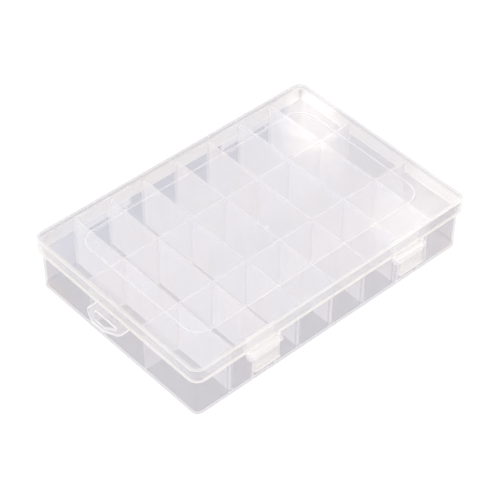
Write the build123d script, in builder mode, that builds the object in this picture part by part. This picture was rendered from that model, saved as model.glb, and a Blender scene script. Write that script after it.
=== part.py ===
"""Embroidery thread box: a shallow clear tray of 24 compartments with a hinged, latched lid.

The tray has two moulded partitions along its length. Twenty-one loose dividers slide down into
slots across them and make eight columns of three compartments. The lid is a flat plate with a
skirt that overlaps the tray's rim. Two moulded hinges join it to the back wall, and two latches
that clip on to bars under the front skirt hook below catches on the front wall.

X runs along the box, with the hang tab at -X. The latches are at -Y and the hinges at +Y.
Z is up, and the origin is the middle of the underside. All sizes are in millimetres.
"""
from build123d import *
from math import atan, cos, degrees, radians, sin
import os

os.makedirs("parts", exist_ok=True)

# ---- whole box
lid_length = 194.0          # along X, over the skirt
lid_width = 132.0           # along Y, over the skirt
box_height = 36.0           # from the table to the bead on the lid
corner_radius = 6.0         # of the lid, seen from above

# ---- lid
lid_plate = 1.3
skirt_height = 9.0          # from the top of the plate to the skirt's lower edge
skirt_wall = 1.1
lid_edge_round = 1.0
bead_inset = 15.8           # from the lid's ends to the raised line around its middle
bead_inset_sides = 17.5     # from the lid's long sides to the same line
bead_radius = 11.0
bead_width = 1.0
bead_height = 0.3
gate_radius = 1.2           # moulding mark left on the lid
gate_y = -12.0

# ---- tray
wall = 1.3
floor = 1.2
wall_lean = 0.5             # each wall stands this much further out at the rim than at the floor
tray_foot_round = 1.2
end_gap = 0.6               # between the skirt and the tray's rim, at the two ends
front_gap = 0.6
rear_gap = 1.1
rim_gap = 0.3               # between the rim and the underside of the lid
spacer_gap = 0.25           # left between the skirt and the small spacers on the rim
spacer_height = 5.0

# ---- compartments
columns = 8
partition = 1.2
middle_row = 42.4           # clear depth of the middle row
divider = 1.2
slot_clearance = 0.15       # on each side of a divider, and at its ends
rib_width = 1.0             # the two ribs of a slot
rib_depth = 1.0             # at the floor
rib_drop = 1.2              # ribs end this far below the rim
divider_drop = 0.2          # partitions and dividers end this far below the rim
foot_clearance = 0.1        # under a divider
divider_corner = 1.0        # bevel on a divider's lower corners

# ---- latches
latch_spacing = 104.0       # between the middles of the two latches
latch_width = 17.0
latch_plate = 1.7
barrel_overhang = 0.7       # each end of the barrel reaches this far beyond the latch's plate
latch_reach = 10.9          # from the bar down to the latch's lower lip
bar_radius = 0.9
bar_clearance = 0.05
bar_cover = 0.4             # plastic between the barrel's bore and the plate behind it
bar_standoff = 1.4          # from the skirt's outer face to the bar
barrel_radius = 1.9
barrel_proud = 0.1          # the barrel stands this far in front of the plate
barrel_gap = 0.3            # between the skirt's lower edge and a latch barrel or hinge knuckle
clip_mouth = 1.5            # opening that snaps over the bar
lug_width = 1.8             # of the ears that carry the bar
side_clearance = 0.2        # between a latch or a hinge knuckle and the ears beside it
catch_drop = 7.4            # from the bar down to the catch's underside
catch_height = 1.4
catch_reach = 1.7           # of the catch, from the wall at the rim
hook_gap = 0.2              # between the hook and the catch
hook_height = 1.7
hook_width = 12.0
hook_wall_gap = 1.0         # between the hook's nose and the wall's rim line
root_overlap = 0.3          # ribs and hooks start this far inside the piece that carries them
fin_width = 1.2             # of the two guards beside a latch
fin_gap = 0.3               # between the guards and the latch
fin_foot = 4.0              # height of a guard's lower end above the table
grip_count = 3
grip_height = 0.8
grip_depth = 0.45
grip_pitch = 2.1
grip_inset = 1.0            # from the latch's sides to the ends of its grip ribs
lip_height = 1.1
lip_depth = 0.9

# ---- hinges
hinge_spacing = 104.0       # between the middles of the two hinges
hinge_span = 36.0           # over the two ears
hinge_ear = 3.0
pin_radius = 1.4
pin_clearance = 0.05
pin_length = 2.5            # of each stub pin
knuckle_radius = 2.2
knuckle_standoff = 1.9      # from the skirt's outer face to the hinge axis
ear_drop = 10.0             # from the hinge axis down to the foot of an ear
shelf_height = 1.5          # of the web that joins the two ears
shelf_reach = 2.6

# ---- hang tab
tab_reach = 9.6             # beyond the lid's end
tab_thickness = 1.8
tab_gap = 0.4               # below the skirt
tab_half_length = 13.2
tab_nose_half_length = 4.6
tab_shoulder = 3.7          # the shoulders lie this far back from the nose
tab_corner = 2.5
tab_ring = 1.9              # width of the ring outside the slot
tab_ring_ends = 3.3         # the same at the slot's two ends
tab_land = 3.4              # from the lid's end to the slot
slot_corner = 0.5

# ---- heights
plate_top = box_height - bead_height
lid_underside = plate_top - lid_plate
rim_z = lid_underside - rim_gap
skirt_z = plate_top - skirt_height
divider_top = rim_z - divider_drop

# ---- plan of the tray: distances of its outer faces from the middle of the lid
rim_end = lid_length / 2 - skirt_wall - end_gap
rim_front = lid_width / 2 - skirt_wall - front_gap
rim_rear = lid_width / 2 - skirt_wall - rear_gap
tray_y = (rim_rear - rim_front) / 2
wall_core = (wall + wall_lean) / 2      # from the rim's outer face to a plane inside the wall
draft = degrees(atan(wall_lean / rim_z))
tray_corner = corner_radius - skirt_wall - wall_lean

# ---- compartments, worked out
partition_y = (middle_row + partition) / 2
inner_end = rim_end - wall - wall_lean              # inner faces at the floor
inner_front = rim_front - wall - wall_lean
inner_rear = rim_rear - wall - wall_lean
pitch = 2 * (inner_end + wall_lean / 2 + divider / 2) / columns
divider_xs = [(number - columns / 2) * pitch for number in range(1, columns)]
rib_offset = divider / 2 + slot_clearance + rib_width / 2
rib_xs = [x + side * rib_offset for x in divider_xs for side in (-1, 1)]
rib_top = rim_z - rib_drop

# ---- axes
latch_y = -(lid_width / 2 + bar_standoff)
latch_z = skirt_z - barrel_gap - barrel_radius
hinge_y = lid_width / 2 + knuckle_standoff
hinge_z = skirt_z - barrel_gap - knuckle_radius
latch_xs = {"latch_left": -latch_spacing / 2, "latch_right": latch_spacing / 2}
hinge_xs = [-hinge_spacing / 2, hinge_spacing / 2]


def on_circle(centre_y, centre_z, radius, degrees):
    """Point of a circle in the YZ plane, measured from +Y towards +Z."""
    angle = radians(degrees)
    return (centre_y + radius * cos(angle), centre_z + radius * sin(angle))


def save(piece, name):
    """Label a finished piece and write it."""
    piece.part.label = name
    export_step(piece.part, f"parts/{name}.step")


# ---- tray ---------------------------------------------------------------------------------------
latch_front = latch_y - barrel_radius + barrel_proud    # outer face of a latch
latch_back = latch_front + latch_plate                  # its inner face
fin_face = latch_back + fin_gap                         # outer edge of a guard
fin_top = latch_z - barrel_radius - fin_gap
fin_x = (latch_width - fin_width) / 2
catch_under = latch_z - catch_drop
front_core = -(rim_front - wall_core)
rear_core = rim_rear - wall_core
tab_root = -(rim_end - wall_core)
tab_nose = -(lid_length / 2 + tab_reach)
tab_top = skirt_z - tab_gap
slot_inner = -(lid_length / 2 + tab_land)
slot_outer = tab_nose + tab_ring
slot_half_length = tab_half_length - tab_ring_ends
slot_nose_half_length = tab_nose_half_length - tab_ring / 2

with BuildPart() as base_tray:
    # shell: a tub whose walls lean outwards
    with BuildSketch(Plane.XY) as tray_foot:
        with Locations((0, tray_y)):
            RectangleRounded(
                2 * (rim_end - wall_lean), rim_front + rim_rear - 2 * wall_lean, tray_corner
            )
    extrude(amount=rim_z, taper=-draft)
    fillet(base_tray.faces().sort_by(Axis.Z)[0].edges(), tray_foot_round)
    with BuildSketch(Plane.XY.offset(floor)) as tray_hollow:
        with Locations((0, tray_y)):
            RectangleRounded(2 * inner_end, inner_front + inner_rear, tray_corner - wall)
    extrude(amount=rim_z - floor, taper=-draft, mode=Mode.SUBTRACT)

    # two partitions along the box, and the slot ribs on them
    with Locations((0, -partition_y, floor), (0, partition_y, floor)):
        Box(
            2 * (rim_end - wall_core), partition, divider_top - floor,
            align=(Align.CENTER, Align.CENTER, Align.MIN),
        )
    with Locations([(x, side * partition_y, floor) for x in rib_xs for side in (-1, 1)]):
        Box(
            rib_width, partition + 2 * rib_depth, rib_top - floor,
            align=(Align.CENTER, Align.CENTER, Align.MIN),
        )

    # slot ribs on the front and back walls
    front_rib = inner_front - rib_depth
    rear_rib = inner_rear - rib_depth
    with Locations([(x, front_core, floor) for x in rib_xs]):
        Box(
            rib_width, -front_core - front_rib, rib_top - floor,
            align=(Align.CENTER, Align.MIN, Align.MIN),
        )
    with Locations([(x, rear_core, floor) for x in rib_xs]):
        Box(
            rib_width, rear_core - rear_rib, rib_top - floor,
            align=(Align.CENTER, Align.MAX, Align.MIN),
        )

    # small spacers outside the rim, which centre the lid
    spacer_z = rim_z - spacer_height
    rear_spacer = wall_core + rear_gap - spacer_gap
    end_spacer = wall_core + end_gap - spacer_gap
    with Locations([(x, rear_core, spacer_z) for x in divider_xs]):
        Box(
            divider, rear_spacer, spacer_height - divider_drop,
            align=(Align.CENTER, Align.MIN, Align.MIN),
        )
    with Locations([(rim_end - wall_core, y, spacer_z) for y in (-partition_y, partition_y)]):
        Box(
            end_spacer, partition, spacer_height - divider_drop,
            align=(Align.MIN, Align.CENTER, Align.MIN),
        )
    with Locations([(wall_core - rim_end, y, spacer_z) for y in (-partition_y, partition_y)]):
        Box(
            end_spacer, partition, spacer_height - divider_drop,
            align=(Align.MAX, Align.CENTER, Align.MIN),
        )

    # guards and catch of each latch
    for latch_x in latch_xs.values():
        for guard_x in (latch_x - fin_x, latch_x + fin_x):
            with BuildSketch(Plane.YZ.offset(guard_x)) as guard:
                Polygon(
                    (front_core, fin_foot), (front_core, fin_top), (fin_face, fin_top),
                    (fin_face, fin_foot + catch_reach), (-rim_front, fin_foot),
                    align=None,
                )
            extrude(amount=fin_width / 2, both=True)
        with BuildSketch(Plane.YZ.offset(latch_x)) as catch:
            Polygon(
                (front_core, catch_under), (front_core, catch_under + 2 * catch_height),
                (-rim_front - catch_reach, catch_under + catch_height),
                (-rim_front - catch_reach, catch_under),
                align=None,
            )
        extrude(amount=fin_x, both=True)

    # ears of each hinge, joined by a shelf
    for hinge_x in hinge_xs:
        ear_x = (hinge_span - hinge_ear) / 2
        ear_foot = hinge_z - ear_drop
        for side in (-1, 1):
            with BuildSketch(Plane.YZ.offset(hinge_x + side * ear_x)) as ear:
                Polygon(
                    (rear_core, ear_foot), (rear_core, hinge_z + knuckle_radius),
                    (hinge_y, hinge_z + knuckle_radius),
                    on_circle(hinge_y, hinge_z, knuckle_radius, 0),
                    on_circle(hinge_y, hinge_z, knuckle_radius, -60),
                    (rim_rear, ear_foot),
                    align=None,
                )
                with Locations((hinge_y, hinge_z)):
                    Circle(knuckle_radius)
                    Circle(pin_radius + pin_clearance, mode=Mode.SUBTRACT)
            extrude(amount=hinge_ear / 2, both=True)
        with BuildSketch(Plane.YZ.offset(hinge_x)) as shelf:
            Polygon(
                (rear_core, ear_foot), (rear_core, ear_foot + 2 * shelf_height),
                (rim_rear + shelf_reach, ear_foot + 2 * shelf_height),
                (rim_rear + shelf_reach, ear_foot + shelf_height), (rim_rear, ear_foot),
                align=None,
            )
        extrude(amount=ear_x, both=True)

    # hang tab under the skirt at the left end
    with BuildSketch(Plane.XY.offset(tab_top - tab_thickness)) as tab:
        Polygon(
            (tab_root, -tab_half_length), (tab_nose + tab_shoulder, -tab_half_length),
            (tab_nose, -tab_nose_half_length), (tab_nose, tab_nose_half_length),
            (tab_nose + tab_shoulder, tab_half_length), (tab_root, tab_half_length),
            align=None,
        )
        fillet(tab.vertices().group_by(Axis.X)[0], tab_corner)
        fillet(tab.vertices().group_by(Axis.Y)[0].sort_by(Axis.X)[0], tab_corner)
        fillet(tab.vertices().group_by(Axis.Y)[-1].sort_by(Axis.X)[0], tab_corner)
        with BuildSketch(mode=Mode.SUBTRACT) as hang_slot:
            Polygon(
                (slot_inner, -slot_half_length),
                (slot_outer, -slot_nose_half_length),
                (slot_outer, slot_nose_half_length),
                (slot_inner, slot_half_length),
                align=None,
            )
            fillet(hang_slot.vertices(), slot_corner)
    extrude(amount=tab_thickness)

save(base_tray, "base_tray")


# ---- loose dividers -----------------------------------------------------------------------------
partition_near = partition_y - partition / 2
partition_far = partition_y + partition / 2
rows = {
    "front": (-inner_front, -partition_far),
    "middle": (-partition_near, partition_near),
    "rear": (partition_far, inner_rear),
}
for row, (row_start, row_end) in rows.items():
    for number, divider_x in enumerate(divider_xs, start=1):
        low_y = row_start + slot_clearance
        high_y = row_end - slot_clearance
        low_z = floor + foot_clearance
        with BuildPart() as divider_plate:
            with BuildSketch(Plane.YZ.offset(divider_x)) as outline:
                with Locations(((low_y + high_y) / 2, (low_z + divider_top) / 2)):
                    Rectangle(high_y - low_y, divider_top - low_z)
                chamfer(outline.vertices().group_by(Axis.Y)[0], divider_corner)
            extrude(amount=divider / 2, both=True)
        save(divider_plate, f"divider_{row}_{number}")


# ---- lid ----------------------------------------------------------------------------------------
barrel_length = latch_width + 2 * barrel_overhang
ear_inner = barrel_length / 2 + side_clearance
knuckle_length = hinge_span - 2 * hinge_ear - 2 * side_clearance
skirt_inner = lid_width / 2 - skirt_wall
skirt_overlap = 0.5         # the ears and knuckles reach this far up into the skirt

with BuildPart() as lid:
    with BuildSketch(Plane.XY.offset(skirt_z)) as lid_outline:
        RectangleRounded(lid_length, lid_width, corner_radius)
    extrude(amount=skirt_height)
    fillet(lid.faces().sort_by(Axis.Z)[-1].edges(), lid_edge_round)
    with BuildSketch(Plane.XY.offset(skirt_z)) as lid_hollow:
        RectangleRounded(
            lid_length - 2 * skirt_wall, lid_width - 2 * skirt_wall, corner_radius - skirt_wall
        )
    extrude(amount=lid_underside - skirt_z, mode=Mode.SUBTRACT)

    # raised line around the middle of the lid, and the moulding mark
    bead_length = lid_length - 2 * bead_inset
    bead_depth = lid_width - 2 * bead_inset_sides
    with BuildSketch(Plane.XY.offset(plate_top)) as bead:
        RectangleRounded(bead_length, bead_depth, bead_radius)
        RectangleRounded(
            bead_length - 2 * bead_width, bead_depth - 2 * bead_width, bead_radius - bead_width,
            mode=Mode.SUBTRACT,
        )
        with Locations((0, gate_y)):
            Circle(gate_radius)
    extrude(amount=bead_height)
    chamfer(lid.faces().sort_by(Axis.Z)[-1].edges(), bead_height / 2)

    # two ears and a bar for each latch
    for latch_x in latch_xs.values():
        for side in (-1, 1):
            ear_x = latch_x + side * (ear_inner + lug_width / 2)
            with BuildSketch(Plane.YZ.offset(ear_x)) as bar_ear:
                Polygon(
                    (-lid_width / 2, skirt_z + skirt_overlap), (-skirt_inner, skirt_z + skirt_overlap),
                    (-skirt_inner, skirt_z), on_circle(latch_y, latch_z, barrel_radius, 0),
                    (latch_y, latch_z), on_circle(latch_y, latch_z, barrel_radius, 120),
                    align=None,
                )
                with Locations((latch_y, latch_z)):
                    Circle(barrel_radius)
            extrude(amount=lug_width / 2, both=True)
        with BuildSketch(Plane.YZ.offset(latch_x)) as bar:
            with Locations((latch_y, latch_z)):
                Circle(bar_radius)
        extrude(amount=ear_inner + lug_width / 2, both=True)

    # knuckle and two stub pins for each hinge
    for hinge_x in hinge_xs:
        with BuildSketch(Plane.YZ.offset(hinge_x)) as knuckle:
            Polygon(
                (skirt_inner, skirt_z + skirt_overlap), (lid_width / 2, skirt_z + skirt_overlap),
                on_circle(hinge_y, hinge_z, knuckle_radius, 60), (hinge_y, hinge_z),
                on_circle(hinge_y, hinge_z, knuckle_radius, 180), (skirt_inner, skirt_z),
                align=None,
            )
            with Locations((hinge_y, hinge_z)):
                Circle(knuckle_radius)
        extrude(amount=knuckle_length / 2, both=True)
        with BuildSketch(Plane.YZ.offset(hinge_x)) as stub_pin:
            with Locations((hinge_y, hinge_z)):
                Circle(pin_radius)
        extrude(amount=knuckle_length / 2 + pin_length, both=True)

save(lid, "lid")


# ---- latches ------------------------------------------------------------------------------------
hook_top = catch_under - hook_gap
hook_nose = -(rim_front + hook_wall_gap)
hook_root = latch_back - root_overlap
lip_z = latch_z - latch_reach

for latch_name, latch_x in latch_xs.items():
    with BuildPart() as latch:
        # barrel that clips over the bar
        with BuildSketch(Plane.YZ.offset(latch_x)) as barrel:
            with Locations((latch_y, latch_z)):
                Circle(barrel_radius)
                Circle(bar_radius + bar_clearance, mode=Mode.SUBTRACT)
            with Locations((latch_y + barrel_radius / 2, latch_z)):
                Rectangle(barrel_radius, clip_mouth, mode=Mode.SUBTRACT)
        extrude(amount=barrel_length / 2, both=True)
        # plate with its lower lip and the hook behind it
        with BuildSketch(Plane.YZ.offset(latch_x)) as plate:
            Polygon(
                on_circle(latch_y, latch_z, barrel_radius, 180), (latch_front, lip_z + 2 * lip_height),
                (latch_front - lip_depth, lip_z + lip_height), (latch_front - lip_depth, lip_z),
                (latch_back, lip_z), (latch_back, latch_z - bar_radius - bar_cover),
                (latch_y - bar_radius - bar_cover, latch_z),
                align=None,
            )
        extrude(amount=latch_width / 2, both=True)
        with BuildSketch(Plane.YZ.offset(latch_x)) as hook:
            Polygon(
                (hook_root, hook_top), (hook_nose, hook_top),
                (hook_nose, hook_top - hook_height / 2),
                (latch_back, hook_top - 2 * hook_height), (hook_root, hook_top - 2 * hook_height),
                align=None,
            )
        extrude(amount=hook_width / 2, both=True)
        # grip ribs across the front
        for step in range(grip_count):
            grip_z = lip_z + 2 * lip_height + grip_pitch * (step + 0.5)
            with BuildSketch(Plane.YZ.offset(latch_x)) as grip:
                with Locations((latch_front, grip_z)):
                    Rectangle(2 * grip_depth, grip_height)
            extrude(amount=latch_width / 2 - grip_inset, both=True)
    save(latch, latch_name)
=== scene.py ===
import math

import bpy
from mathutils import Matrix, Vector

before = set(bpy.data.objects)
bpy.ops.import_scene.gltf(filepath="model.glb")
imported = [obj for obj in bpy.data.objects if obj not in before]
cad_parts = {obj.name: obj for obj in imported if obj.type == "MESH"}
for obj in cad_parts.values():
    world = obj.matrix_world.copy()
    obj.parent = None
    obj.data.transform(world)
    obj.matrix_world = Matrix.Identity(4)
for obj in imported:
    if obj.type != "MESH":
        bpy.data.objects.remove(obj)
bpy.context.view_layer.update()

MM = 0.001
WHITE = (1, 1, 1, 1)
scene = bpy.context.scene

# ---------------------------------------------------- the box as the CAD has it, in millimetres
LID_X, LID_Y, LID_R = 97.0, 66.0, 6.0           # half the lid's length and width, and its corner radius
PANEL_X, PANEL_Y, PANEL_R = 81.2, 48.5, 11.0    # the same for the raised line on the lid
PLATE_TOP = 35.7                                # the lid's plate, without the raised line
SKIRT_Z = 26.7                                  # lower edge of the lid's skirt
RIM_FRONT, RIM_REAR = 64.3, 63.8                # outer faces of the tray's rim, from the lid's middle


# ---------------------------------------------------- node helpers
# sockets of a Mix node: its factor with its two inputs, and its result
FLOAT_SOCKETS, FLOAT_RESULT = (0, 2, 3), 0
COLOUR_SOCKETS, COLOUR_RESULT = (0, 6, 7), 2
EDGE_SOFTNESS = 0.02        # of a mask's limit that states no softness of its own


class Graph:
    """A material's node tree, with the sums written as plain calls. Lengths are in millimetres."""

    def __init__(self, name):
        self.material = bpy.data.materials.new(name)
        self.material.use_nodes = True
        self.tree = self.material.node_tree
        self.tree.nodes.clear()
        self.out = self.tree.nodes.new("ShaderNodeOutputMaterial")
        coords = self.tree.nodes.new("ShaderNodeTexCoord").outputs
        self.place = self.vector("SCALE", coords["Object"], scale=1 / MM)
        self.x, self.y, self.z = self.node("ShaderNodeSeparateXYZ", Vector=self.place).outputs
        self.nx, self.ny, self.nz = self.node("ShaderNodeSeparateXYZ", Vector=coords["Normal"]).outputs
        self.facing = self.node("ShaderNodeLayerWeight", Blend=0.5).outputs["Facing"]
        self.straight = self.sum("SUBTRACT", 1.0, self.facing)

    def node(self, kind, settings=None, **inputs):
        made = self.tree.nodes.new(kind)
        for key, value in (settings or {}).items():
            setattr(made, key, value)
        for key, value in inputs.items():
            self.put(made.inputs[key.replace("_", " ")], value)
        return made

    def put(self, socket, value):
        """Link a node's output to the socket, or set the socket to a plain value."""
        if isinstance(value, bpy.types.NodeSocket):
            self.tree.links.new(value, socket)
        else:
            socket.default_value = value

    def sum(self, operation, *values, clamp=False):
        made = self.node("ShaderNodeMath", {"operation": operation, "use_clamp": clamp})
        for socket, value in zip(made.inputs, values):
            self.put(socket, value)
        return made.outputs[0]

    def vector(self, operation, *values, scale=None):
        made = self.node("ShaderNodeVectorMath", {"operation": operation})
        for socket, value in zip(made.inputs, values):
            self.put(socket, value)
        if scale is not None:
            self.put(made.inputs["Scale"], scale)
        return made.outputs["Value" if operation == "LENGTH" else "Vector"]

    def ramp(self, value, low, high, to_low=0.0, to_high=1.0):
        settings = {"interpolation_type": "SMOOTHSTEP"}
        made = self.node(
            "ShaderNodeMapRange", settings,
            Value=value, From_Min=low, From_Max=high, To_Min=to_low, To_Max=to_high,
        )
        return made.outputs[0]

    def above(self, value, limit, soft=EDGE_SOFTNESS):
        return self.ramp(value, limit - soft, limit + soft)

    def below(self, value, limit, soft=EDGE_SOFTNESS):
        return self.ramp(value, limit - soft, limit + soft, 1.0, 0.0)

    def share(self, value, amount):
        return self.sum("MULTIPLY", value, amount)

    def both(self, *masks):
        result = masks[0]
        for mask in masks[1:]:
            result = self.share(result, mask)
        return result

    def either(self, *masks):
        result = masks[0]
        for mask in masks[1:]:
            result = self.sum("MAXIMUM", result, mask)
        return result

    def strongest(self, strengths, **masks):
        """At each point the strongest of the masks, each of them times the strength of its name."""
        return self.either(*(self.share(mask, strengths[name]) for name, mask in masks.items()))

    def size(self, value):
        return self.sum("ABSOLUTE", value)

    def blend(self, mask, low, high):
        made = self.node("ShaderNodeMix", {"data_type": "FLOAT"})
        for index, value in zip(FLOAT_SOCKETS, (mask, low, high)):
            self.put(made.inputs[index], value)
        return made.outputs[FLOAT_RESULT]

    def colour(self, mask, low, high):
        made = self.node("ShaderNodeMix", {"data_type": "RGBA"})
        for index, value in zip(COLOUR_SOCKETS, (mask, low, high)):
            self.put(made.inputs[index], value)
        return made.outputs[COLOUR_RESULT]

    def layer(self, cover, under, over):
        """Shader that shows over where cover is 1 and under where it is 0."""
        made = self.node("ShaderNodeMixShader", Fac=cover)
        self.put(made.inputs[1], under)
        self.put(made.inputs[2], over)
        return made.outputs[0]

    def noise(self, pitch, detail, stretch=(1, 1, 1), distortion=0.0):
        """Noise from 0 to 1 whose features are about pitch millimetres wide."""
        place = self.vector("MULTIPLY", self.place, tuple(1 / (pitch * s) for s in stretch))
        made = self.node(
            "ShaderNodeTexNoise", Vector=place, Scale=1.0, Detail=detail, Distortion=distortion
        )
        return made.outputs[0]

    def rounded_box(self, half_x, half_y, radius):
        """Distance outside a rounded rectangle around the middle of the box, negative inside it."""
        flat = self.node("ShaderNodeCombineXYZ", X=self.size(self.x), Y=self.size(self.y)).outputs[0]
        away = self.vector("SUBTRACT", flat, (half_x - radius, half_y - radius, 0))
        outside = self.vector("LENGTH", self.vector("MAXIMUM", away, (0, 0, 0)))
        away_x, away_y, _ = self.node("ShaderNodeSeparateXYZ", Vector=away).outputs
        inside = self.sum("MINIMUM", self.sum("MAXIMUM", away_x, away_y), 0.0)
        return self.sum("SUBTRACT", self.sum("ADD", outside, inside), radius)


# ---------------------------------------------------- translucent polypropylene
# colours of the light that the plastic scatters
MILK_COOL, MILK_WARM = (0.93, 0.925, 0.95, 1), (0.945, 0.925, 0.935, 1)
LATCH_MILK = (0.815, 0.79, 0.785, 1)
CREAM = (0.95, 0.93, 0.905, 1)          # at the lid's skirt and margin, the rim and the barrels
EDGE = (0.95, 0.922, 0.865, 1)          # at bright edges
# and of the light that one face lets through where it is clearest, and the painted shade that view rays
# take on
# through it where it is darkest: in front, as a bluish painted shadow at the rear, and as a painted
# warm reflection
CLEAR = (0.985, 0.983, 0.99, 1), (0.988, 0.982, 0.985, 1)
SHADE_TINT_FRONT = (0.716, 0.705, 0.725, 1)
SHADOW_TINT_REAR = (0.69, 0.70, 0.755, 1)
WARM_REFLECTION_TINT = (0.762, 0.72, 0.712, 1)
SHADE = 0.99                # share of the light that one face lets through to what it falls on

# noises, as the width of their features in millimetres and their detail. CLOUD and FLOW vary the haze,
# WARMTH the colour, GRAIN and WAVE the relief, and POLISH the roughness
CLOUD, FLOW, WARMTH = (26.0, 3.0), (3.2, 4.0), (34.0, 2.0)
GRAIN, WAVE, POLISH = (2.5, 2.0), (18.0, 1.0), (14.0, 3.0)
FLOW_STRETCH = (1, 1, 5)
WARMTH_DISTORTION, WARMTH_BREAK = 0.6, (0.35, 0.65)
# how far a noise lowers and raises the number that it varies
CLOUD_SWING, FLOW_SWING, POLISH_SWING = (0.82, 1.18), (0.9, 1.1), (0.8, 1.25)

EDGE_HAZE = 0.85            # share of light that a bright edge scatters
LEAST_STRAIGHT = 0.22       # a ray that slants more than this counts as slanting this much
BACKLIT = 0.4, 0.1          # share of scattered light that comes through: in the body, at bright edges
MILK_ROUGHNESS = 0.3
GRAIN_HEIGHT = 0.05         # of the grain beside the wave
BUMP_HEIGHT = 1.0 * MM      # of both together
HAZE_ROUGHNESS = 0.5        # roughness that full extra haze adds
MIRROR = 0.04               # share of light mirrored head on
MIRROR_GRAZING, GRAZING_POWER = 0.35, 7.0       # what a grazing ray adds to it, and how late it sets in

# where the painted shade is a bluish painted shadow, and where it is a painted warm reflection: limits
# with their softness, in millimetres
REAR_TINT_X, REAR_TINT_Y, REAR_TINT_Z = (86.0, 4.0), (59.0, 2.0), (27.0, 1.0)
RIGHT_END_X, RIGHT_END_Y = (82.0, 6.0), (-61.0, 1.0)
LEFT_END_X, LEFT_END_Y = (-92.0, 1.0), (42.0, 12.0)
WARM_Z = 10.0, 6.0


def painted_shade_tint(g):
    """Painted shade that view rays take on through the darkest places, a bluish painted shadow at the
    rear and a painted warm reflection low at the ends.
    """
    # painted shadow: bluish, low at the rear, where the box's shadow falls behind it
    rear = g.both(
        g.above(g.y, *REAR_TINT_Y),
        g.below(g.z, *REAR_TINT_Z),
        g.below(g.size(g.x), *REAR_TINT_X),
    )
    # painted warm reflection of the surroundings, low at the right and left ends
    right_end = g.both(g.above(g.x, *RIGHT_END_X), g.below(g.y, *RIGHT_END_Y))
    left_end = g.both(g.below(g.x, *LEFT_END_X), g.above(g.y, *LEFT_END_Y))
    warm = g.both(g.either(right_end, left_end), g.below(g.z, *WARM_Z))
    return g.colour(rear, g.colour(warm, SHADE_TINT_FRONT, WARM_REFLECTION_TINT), SHADOW_TINT_REAR)


def plastic(name, masks, haze, gloss=0.12, bump=0.02, milk=(MILK_COOL, MILK_WARM)):
    """Milky see-through plastic.

    masks(graph) gives the shares of bright edge, extra haze, painted shade and cream; the painted shade
    darkens only what view rays see through a face, standing in for the box's shadow. haze is the share
    of light that one face scatters head on. A slanting ray takes a longer way through the plastic, so
    it scatters more. gloss is the roughness of the shine on it.
    """
    g = Graph(name)
    edge, frost, depth, cream = masks(g)
    warmth = g.ramp(g.noise(*WARMTH, distortion=WARMTH_DISTORTION), *WARMTH_BREAK)

    amount = g.blend(g.noise(*CLOUD), *(haze * swing for swing in CLOUD_SWING))
    amount = g.share(amount, g.blend(g.noise(*FLOW, stretch=FLOW_STRETCH), *FLOW_SWING))
    amount = g.blend(edge, g.sum("ADD", amount, frost), EDGE_HAZE)
    slant = g.sum("DIVIDE", 1.0, g.sum("MAXIMUM", g.straight, LEAST_STRAIGHT))
    through = g.sum("POWER", g.sum("SUBTRACT", 1.0, amount), slant)
    covered = g.sum("SUBTRACT", 1.0, through, clamp=True)

    height = g.sum("ADD", g.share(g.noise(*GRAIN), GRAIN_HEIGHT), g.noise(*WAVE))
    normal = g.node("ShaderNodeBump", Strength=bump, Distance=BUMP_HEIGHT, Height=height).outputs[0]

    tint = g.colour(cream, g.colour(warmth, *milk), CREAM)
    tint = g.colour(edge, tint, EDGE)
    front = g.node("ShaderNodeBsdfDiffuse", Color=tint, Roughness=MILK_ROUGHNESS, Normal=normal)
    back = g.node("ShaderNodeBsdfTranslucent", Color=tint, Normal=normal)
    milky = g.layer(g.blend(edge, *BACKLIT), front.outputs[0], back.outputs[0])
    # painted shade: view rays through a face take on the shade tint, while light for other faces passes
    # almost clear
    window = g.colour(depth, g.colour(warmth, *CLEAR), painted_shade_tint(g))
    open_part = g.node("ShaderNodeBsdfTransparent", Color=window).outputs[0]
    body = g.layer(covered, open_part, milky)

    rough = g.blend(g.noise(*POLISH), *(gloss * swing for swing in POLISH_SWING))
    rough = g.sum("ADD", rough, g.share(frost, HAZE_ROUGHNESS))
    shine = g.node("ShaderNodeBsdfGlossy", Color=WHITE, Roughness=rough, Normal=normal).outputs[0]
    grazing = g.share(g.sum("POWER", g.facing, GRAZING_POWER), MIRROR_GRAZING)
    whole = g.layer(g.sum("ADD", MIRROR, grazing), body, shine)

    # light on its way to other faces passes almost unchanged, so nothing inside the box goes dark
    shadow = g.node("ShaderNodeBsdfTransparent", Color=(SHADE, SHADE, SHADE, 1)).outputs[0]
    ray = g.node("ShaderNodeLightPath").outputs
    lighting = g.either(ray["Is Shadow Ray"], ray["Is Diffuse Ray"])
    g.put(g.out.inputs["Surface"], g.layer(lighting, whole, shadow))
    return g.material


# ---------------------------------------------------- where the plastic is bright, milky or darkened by painted shade
# Positions are in millimetres, and a pair is a limit with its softness. Strengths go from 0 to 1.
MOSTLY = 0.5                # part of a normal along an axis, above which the face looks that way

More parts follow.
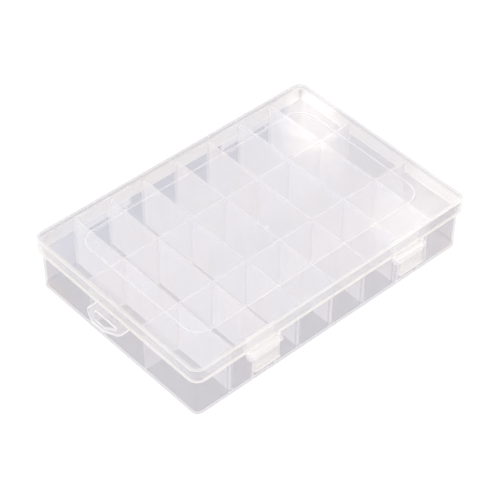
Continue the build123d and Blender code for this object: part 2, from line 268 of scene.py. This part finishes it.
# the tray's pieces
TOPS_NZ, TOPS_Z = 0.8, 27.0                     # upward faces of the rim, the partitions and the ribs
TAB_X = -96.2                                   # the hang tab lies beyond this
GUARD_Y = -66.3                                 # and the front faces of the guards beyond this
FOOT_Z, FOOT_NZ = (1.3, 0.1), (0.95, 0.04)      # rounded lower edge of the walls
EAR_Y, EAR_Z = RIM_REAR + 0.5, 27.0             # hinge ears
CATCH_Y, CATCH_Z = -RIM_FRONT - 0.4, 26.0       # catches and guards
RIB_X, RIB_Y = 90.0, 64.0                       # the slot ribs lie within these
FLOOR_Z, FLOOR_NZ = 1.4, (0.7, 0.2)             # both faces of the floor
INSIDE_X, INSIDE_Y = 91.5, 61.3                 # partitions and ribs, away from the walls
CORNER_X, CORNER_Y = (92.6, 0.8), (61.2, 0.8)
UNDER_X, UNDER_Y = (93.2, 0.4), (62.2, 0.4)     # downward faces around the underside
RIM_X, RIM_Y, RIM_Z = 93.4, 62.0, (SKIRT_Z - 0.3, 0.15)     # walls behind the lid's skirt
LINE_Z = SKIRT_Z + 0.2, 0.15                    # bright line where that begins
PARTITION_X, PARTITION_Y, PARTITION_Z = 94.0, 24.0, 1.3
FRONT_Y, REAR_Y = -62.0, 61.0                   # walls with milky patches behind latches and hinges
BEHIND_LATCH_X, BEHIND_LATCH_Z = ((42.0, 1.0), (62.0, 1.0)), (22.5, 0.5)
BEHIND_HINGE_X, BEHIND_HINGE_Z = ((33.0, 2.0), (71.0, 2.0)), (21.5, 1.5)
# x + y goes from near to far around the front left corner, and the front wall is never far
FAR_SUM, FAR_Y = (-15.0, 45.0), (-61.0, 1.0)
REAR_RIB_Y, REAR_WALL_Y = (50.0, 3.0), (61.0, 1.0)

# the tray's strengths, where a pair is near and far, or front and rear
TRAY_EDGE = {"tops": 0.5, "tab": 0.5, "guards": 0.15, "line": 0.4}
RIB_EDGE = 0.1, 0.3
# painted shade: the tint that stands in for the box's shadow on the table, strong at the walls' foot,
# in the corners, on the underside, the floor and the far walls, and light inside the box and at the
# fittings
TRAY_SHADE = {"foot": 0.9, "corner": 0.42, "underside": 0.9}
WALL_SHADE_NEAR, WALL_SHADE_FAR, TRAY_FLOOR_SHADOW = 0.32, (0.5, 0.68), 0.6
INSIDE_DEPTH, FITTING_DEPTH = 0.07, 0.07
RIM_DEPTH, RIM_HAZE, RIM_CREAM = (1.0, 0.6), (0.09, 0.38), (0.3, 0.6)
TRAY_HAZE = {"partitions": 0.21, "ears": 0.25, "catches": 0.06, "behind": 0.4, "tab": 0.13}


def tray_masks(g):
    """Bright rims, ribs, tab and guards, milky partitions and ears, and painted shade on the floor,
    walls, foot, corners and underside.
    """
    out_x, out_y = g.size(g.x), g.size(g.y)
    upright = g.below(g.size(g.nz), MOSTLY)
    looks_down = g.below(g.nz, -MOSTLY)
    far = g.both(g.above(g.sum("ADD", g.x, g.y), *FAR_SUM), g.above(g.y, *FAR_Y))

    tops = g.both(g.above(g.nz, TOPS_NZ), g.above(g.z, TOPS_Z))
    tab = g.below(g.x, TAB_X)
    guards = g.both(g.below(g.y, GUARD_Y), g.below(g.ny, -MOSTLY))
    ears = g.both(g.above(g.y, EAR_Y), g.below(g.z, EAR_Z))
    catches = g.both(g.below(g.y, CATCH_Y), g.below(g.z, CATCH_Z))
    across = g.above(g.size(g.nx), MOSTLY)
    ribs = g.both(across, upright, g.below(out_x, RIB_X), g.below(out_y, RIB_Y))
    outer_faces = g.either(g.above(out_y, RIM_Y), g.above(out_x, RIM_X))
    rim = g.both(g.above(g.z, *RIM_Z), g.below(g.nz, MOSTLY), outer_faces)
    line = g.both(rim, g.below(g.z, *LINE_Z))
    edge = g.strongest(TRAY_EDGE, tops=tops, tab=g.both(tab, upright), guards=guards, line=line)
    edge = g.either(edge, g.both(ribs, g.blend(g.above(g.y, *REAR_RIB_Y), *RIB_EDGE)))

    # painted shade at the walls' foot, in the corners, on the underside and through the floor
    foot = g.both(g.below(g.z, *FOOT_Z), g.below(g.size(g.nz), *FOOT_NZ))
    floor_faces = g.both(g.below(g.z, FLOOR_Z), g.above(g.size(g.nz), *FLOOR_NZ))
    inside = g.both(g.below(out_x, INSIDE_X), g.below(out_y, INSIDE_Y), g.above(g.z, FLOOR_Z))
    corner = g.both(g.above(out_x, *CORNER_X), g.above(out_y, *CORNER_Y))
    underside = g.both(looks_down, g.either(g.above(out_x, *UNDER_X), g.above(out_y, *UNDER_Y)))
    # painted shadow: the far walls, the rear wall most, tint what is seen through them darker
    walls = g.blend(far, WALL_SHADE_NEAR, g.blend(g.above(g.y, *REAR_WALL_Y), *WALL_SHADE_FAR))
    depth = g.blend(inside, g.blend(floor_faces, walls, TRAY_FLOOR_SHADOW), INSIDE_DEPTH)
    depth = g.either(depth, g.strongest(TRAY_SHADE, foot=foot, corner=corner, underside=underside))
    depth = g.blend(g.either(tab, ears, catches), depth, FITTING_DEPTH)
    depth = g.share(depth, g.blend(g.both(rim, far), *RIM_DEPTH))

    partitions = g.both(
        g.below(out_y, PARTITION_Y),
        g.above(g.size(g.ny), MOSTLY),
        g.above(g.z, PARTITION_Z),
        g.below(out_x, PARTITION_X),
    )
    behind_latch = g.both(
        g.above(g.z, *BEHIND_LATCH_Z),
        g.below(g.y, FRONT_Y),
        g.above(out_x, *BEHIND_LATCH_X[0]),
        g.below(out_x, *BEHIND_LATCH_X[1]),
    )
    behind_hinge = g.both(
        g.above(g.z, *BEHIND_HINGE_Z),
        g.above(g.y, REAR_Y),
        g.above(out_x, *BEHIND_HINGE_X[0]),
        g.below(out_x, *BEHIND_HINGE_X[1]),
    )
    behind = g.either(behind_latch, behind_hinge)
    haze = g.strongest(
        TRAY_HAZE, partitions=partitions, ears=ears, catches=catches, behind=behind, tab=tab
    )
    haze = g.either(haze, g.both(rim, g.blend(far, *RIM_HAZE)))
    return edge, haze, depth, g.both(rim, g.blend(far, *RIM_CREAM))


# a divider
DIVIDER_EDGE = {"tops": 0.28, "ends": 0.1}
# DIVIDER_DEPTH: a light painted shade through a divider
DIVIDER_DEPTH = 0.05


def divider_masks(g):
    """Brighter tops and ends."""
    tops, ends = g.above(g.nz, MOSTLY), g.above(g.size(g.ny), MOSTLY)
    return g.strongest(DIVIDER_EDGE, tops=tops, ends=ends), 0.0, DIVIDER_DEPTH, 0.0


# the lid's pieces: a distance from its outline, or from the raised line's, is negative inside it
SKIRT_OUTLINE, SKIRT_TOP, SKIRT_FOOT = -1.6, PLATE_TOP - 0.9, SKIRT_Z - 0.1
MARGIN_OUTLINE = SKIRT_OUTLINE, 0.2             # the skirt and the edge of the plate over it
LID_FOOT_Z = SKIRT_Z + 0.55, 0.25               # the skirt's lower edge
REAR_OR_RIGHT = 0.15, 0.1                       # part of a normal towards the rear or the right
ROUND_OUTLINE, ROUND_Z = (-0.95, 0.2), (PLATE_TOP - 0.9, 0.2)   # the lid's rounded upper edge
BEAD_Z, BEAD_NZ = PLATE_TOP + 0.03, 0.2         # the raised line
FITTING_Z = SKIRT_Z - 0.05                      # hinge knuckles, and the latches' ears and bars
MIDDLE_PANEL = -1.0, 0.3                        # the top inside the raised line
LID_REAR_Y, LID_RIGHT_X, LID_FAR_Z = (63.0, 0.6), (94.0, 0.6), (32.5, 0.8)
SHADED_SKIRT_X = 65.0, 7.0                        # the front skirt takes more painted shade from here to its right end

# the lid's strengths, where a pair is in front or on the left, and at the rear or on the right
# the raised line's top is whitened as a painted highlight along it
LID_EDGE = {"foot": 0.7, "bead": 0.4}
# the rounded upper edge's share is a painted highlight, at the front and left only; the skirt's haze is
# made stronger at the front and left by painted light
ROUND_HIGHLIGHT, SKIRT_HAZE_AND_LIGHT = (0.5, 0.0), (0.045, 0.02)
LID_HAZE = {"middle": 0.015, "fittings": 0.2}
# painted shade: the lid's rear and right edges, its plate and its skirt tint what is seen through them
# darker, and its fittings a little
LID_FAR_SHADE = {"rear": 0.42, "right": 0.38}
LID_SKIRT_SHADE = {"deep_skirt": 0.4, "skirt": 0.18}
PLATE_SHADE = 0.13, 0.1                         # here in the middle, and at the margin
LID_FITTING_DEPTH = 0.03
LID_CREAM = {"margin": 0.4, "skirt": 0.8}


def lid_masks(g):
    """Bright upper edge, skirt's lower edge and raised line, the upper edge at the front and left and
    the raised line as painted highlights. A creamy skirt, paler at the front and left by painted light,
    and painted shade at the far edges.
    """
    outline = g.rounded_box(LID_X, LID_Y, LID_R)
    panel = g.rounded_box(PANEL_X, PANEL_Y, PANEL_R)
    away = g.either(g.above(g.ny, *REAR_OR_RIGHT), g.above(g.nx, *REAR_OR_RIGHT))
    skirt = g.both(g.above(outline, SKIRT_OUTLINE), g.below(g.z, SKIRT_TOP), g.above(g.z, SKIRT_FOOT))
    margin = g.both(g.above(outline, *MARGIN_OUTLINE), g.above(g.z, SKIRT_Z))
    fittings = g.below(g.z, FITTING_Z)

    foot = g.both(skirt, g.below(g.z, *LID_FOOT_Z))
    # painted highlight along the raised line's top
    bead = g.both(g.above(g.z, BEAD_Z), g.above(g.nz, BEAD_NZ))
    # painted highlight on the rounded upper edge, at the front and left and none at the rear or right
    rounded = g.both(g.above(outline, *ROUND_OUTLINE), g.above(g.z, *ROUND_Z))
    rounded = g.share(rounded, g.blend(away, *ROUND_HIGHLIGHT))
    edge = g.either(g.strongest(LID_EDGE, foot=foot, bead=bead), rounded)

    middle = g.both(g.below(panel, *MIDDLE_PANEL), g.above(g.nz, MOSTLY))
    haze = g.strongest(LID_HAZE, middle=middle, fittings=fittings)
    # painted light: the skirt's haze is stronger at the front and left than at the rear and right
    haze = g.either(haze, g.both(skirt, g.blend(away, *SKIRT_HAZE_AND_LIGHT)))

    # painted shade at the rear and right edges of the lid
    far = g.strongest(LID_FAR_SHADE, rear=g.above(g.y, *LID_REAR_Y), right=g.above(g.x, *LID_RIGHT_X))
    far = g.both(far, g.above(g.z, *LID_FAR_Z))
    # painted shade on the skirt, most on the front skirt towards its right end
    deep_skirt = g.both(skirt, g.below(g.ny, -MOSTLY), g.above(g.x, *SHADED_SKIRT_X))
    depth = g.either(far, g.blend(margin, *PLATE_SHADE))
    depth = g.either(depth, g.strongest(LID_SKIRT_SHADE, deep_skirt=deep_skirt, skirt=skirt))
    depth = g.blend(fittings, depth, LID_FITTING_DEPTH)
    return edge, haze, depth, g.strongest(LID_CREAM, margin=margin, skirt=skirt)


# a latch
BARREL_Z = 22.2, 0.8                            # the barrel and the bend below it lie above this
LIP_Z, LIP_NZ = (14.9, 0.3), 0.3                # upward face of the lower lip
# the barrel is whiter as stress-whitened plastic, and partly as a painted highlight
LATCH_EDGE = {"barrel": 0.25, "lip": 0.6}
LATCH_HAZE = -0.09, 0.0                         # extra haze of the plate, and of the barrel
# LATCH_DEPTH: a light painted shade through the latch
LATCH_DEPTH, BARREL_CREAM = 0.03, 0.5


def latch_masks(g):
    """Whiter at the barrel, stress-whitened plastic partly painted as a highlight, and at the lip, and
    a clearer plate between them.
    """
    barrel = g.above(g.z, *BARREL_Z)
    lip = g.both(g.below(g.z, *LIP_Z), g.above(g.nz, LIP_NZ))
    edge = g.strongest(LATCH_EDGE, barrel=barrel, lip=lip)
    return edge, g.blend(barrel, *LATCH_HAZE), LATCH_DEPTH, g.share(barrel, BARREL_CREAM)


# by the start of the nodes' names
MATERIALS = {
    "base_tray": plastic("tray_plastic", tray_masks, haze=0.015),
    "lid": plastic("lid_plastic", lid_masks, haze=0.015, gloss=0.08, bump=0.1),
    "divider": plastic("divider_plastic", divider_masks, haze=0.28, gloss=0.2),
    "latch": plastic("latch_plastic", latch_masks, haze=0.4, gloss=0.2, milk=(LATCH_MILK, LATCH_MILK)),
}
for node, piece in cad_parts.items():
    for start, material in MATERIALS.items():
        if node.startswith(start):
            for slot in piece.material_slots:
                slot.material = material


# ---------------------------------------------------- floor and light around
FLOOR_HALF, FLOOR_HEIGHT = 6.0, -0.05 * MM
FLOOR_DARK, FLOOR_PALE = (0.84, 0.84, 0.845, 1), (0.855, 0.855, 0.86, 1)
FLOOR_SPECK = 40.0, 2.0
FLOOR_LIFT = 0.15           # what the floor adds to its own colour where it is seen, to reach white
WORLD_LIGHT = (0.90, 0.90, 0.91, 1)


def looking(tree):
    """1 for rays from the camera, from a mirror or through glass, and 0 for the light on the object."""
    path = tree.nodes.new("ShaderNodeLightPath").outputs
    last = path["Is Camera Ray"]
    for name in ("Is Glossy Ray", "Is Transmission Ray"):
        made = tree.nodes.new("ShaderNodeMath")
        made.operation = "MAXIMUM"
        tree.links.new(last, made.inputs[0])
        tree.links.new(path[name], made.inputs[1])
        last = made.outputs[0]
    return last


def floor_material():
    g = Graph("studio_floor")
    base = g.colour(g.noise(*FLOOR_SPECK), FLOOR_DARK, FLOOR_PALE)
    matte = g.node("ShaderNodeBsdfDiffuse", Color=base).outputs[0]
    strength = g.share(looking(g.tree), FLOOR_LIFT)
    lift = g.node("ShaderNodeEmission", Color=WHITE, Strength=strength).outputs[0]
    together = g.node("ShaderNodeAddShader")
    g.put(together.inputs[0], matte)
    g.put(together.inputs[1], lift)
    g.put(g.out.inputs["Surface"], together.outputs[0])
    return g.material


mesh = bpy.data.meshes.new("floor")
signs = ((-1, -1), (1, -1), (1, 1), (-1, 1))
mesh.from_pydata([(x * FLOOR_HALF, y * FLOOR_HALF, FLOOR_HEIGHT) for x, y in signs], [], [(0, 1, 2, 3)])
floor = bpy.data.objects.new("floor", mesh)
scene.collection.objects.link(floor)
floor.data.materials.append(floor_material())

world = bpy.data.worlds.new("studio")
scene.world = world
world.use_nodes = True
tree = world.node_tree
mix = tree.nodes.new("ShaderNodeMix")
mix.data_type = "RGBA"
factor, light, seen = (mix.inputs[index] for index in COLOUR_SOCKETS)
light.default_value = WORLD_LIGHT
seen.default_value = WHITE
tree.links.new(looking(tree), factor)
tree.links.new(mix.outputs[COLOUR_RESULT], tree.nodes["Background"].inputs["Color"])


def lamp(name, place, target, width, depth, power, colour):
    data = bpy.data.lights.new(name, "AREA")
    data.shape = "RECTANGLE"
    data.size, data.size_y = width, depth
    data.energy = power
    data.color = colour
    made = bpy.data.objects.new(name, data)
    scene.collection.objects.link(made)
    made.location = place
    aim = Vector(target) - Vector(place)
    made.rotation_euler = aim.to_track_quat("-Z", "Y").to_euler()


# soft studio lamps, as (name, place, width, power, colour)
BOX_MIDDLE = (0, 0, 0.02)
STUDIO = [
    ("left", (-0.95, -0.65, 0.85), 0.7, 3.8, (0.98, 0.985, 1.0)),
    ("right", (0.95, -0.75, 0.85), 0.5, 3.8, (1.0, 0.955, 0.90)),
]
for name, place, width, power, colour in STUDIO:
    lamp(name, place, BOX_MIDDLE, width, width, power, colour)

# warm lights that the lid mirrors as soft patches, as (place, width, depth, brightness)
LID_MIDDLE = (0, 0, 0.036)
GLARE_COLOUR = (1.0, 0.93, 0.81)
GLARES = [
    ((0.839, 0.808, 0.953), 0.06, 0.07, 4.3),
    ((0.826, 0.614, 0.995), 0.08, 0.06, 1.8),
    ((0.887, 0.608, 0.977), 0.09, 0.07, 1.5),
]
for index, (place, width, depth, brightness) in enumerate(GLARES):
    power = brightness * math.pi * width * depth
    lamp(f"glare_{index}", place, LID_MIDDLE, width, depth, power, GLARE_COLOUR)

# ---------------------------------------------------- camera, fitted to the photo
AZIMUTH, ELEVATION, ROLL = math.radians(-42.42), math.radians(44.28), math.radians(0.57)
DISTANCE, FOCAL_PIXELS, FRAME_PIXELS, SENSOR = 1047.26, 1949.77, 500, 36.0
TARGET = Vector((-5.92, -5.04, 18.0))
CLIP_START, CLIP_END = 0.01, 50.0
back = Vector((
    math.sin(AZIMUTH) * math.cos(ELEVATION),
    -math.cos(AZIMUTH) * math.cos(ELEVATION),
    math.sin(ELEVATION),
))
right = Vector((math.cos(AZIMUTH), math.sin(AZIMUTH), 0))
above = back.cross(right)
turned_right = right * math.cos(ROLL) + above * math.sin(ROLL)
turned_up = above * math.cos(ROLL) - right * math.sin(ROLL)
camera_data = bpy.data.cameras.new("camera")
camera_data.sensor_width = SENSOR
camera_data.lens = FOCAL_PIXELS / FRAME_PIXELS * SENSOR
camera_data.clip_start = CLIP_START
camera_data.clip_end = CLIP_END
camera = bpy.data.objects.new("camera", camera_data)
scene.collection.objects.link(camera)
turn = Matrix((turned_right, turned_up, back)).transposed()
camera.matrix_world = Matrix.Translation((TARGET + back * DISTANCE) * MM) @ turn.to_4x4()
scene.camera = camera

# ---------------------------------------------------- render look
TRANSPARENT_BOUNCES, BOUNCES = 64, 16           # a ray passes many thin walls
scene.view_settings.view_transform = "Standard"
scene.cycles.transparent_max_bounces = TRANSPARENT_BOUNCES
scene.cycles.max_bounces = BOUNCES
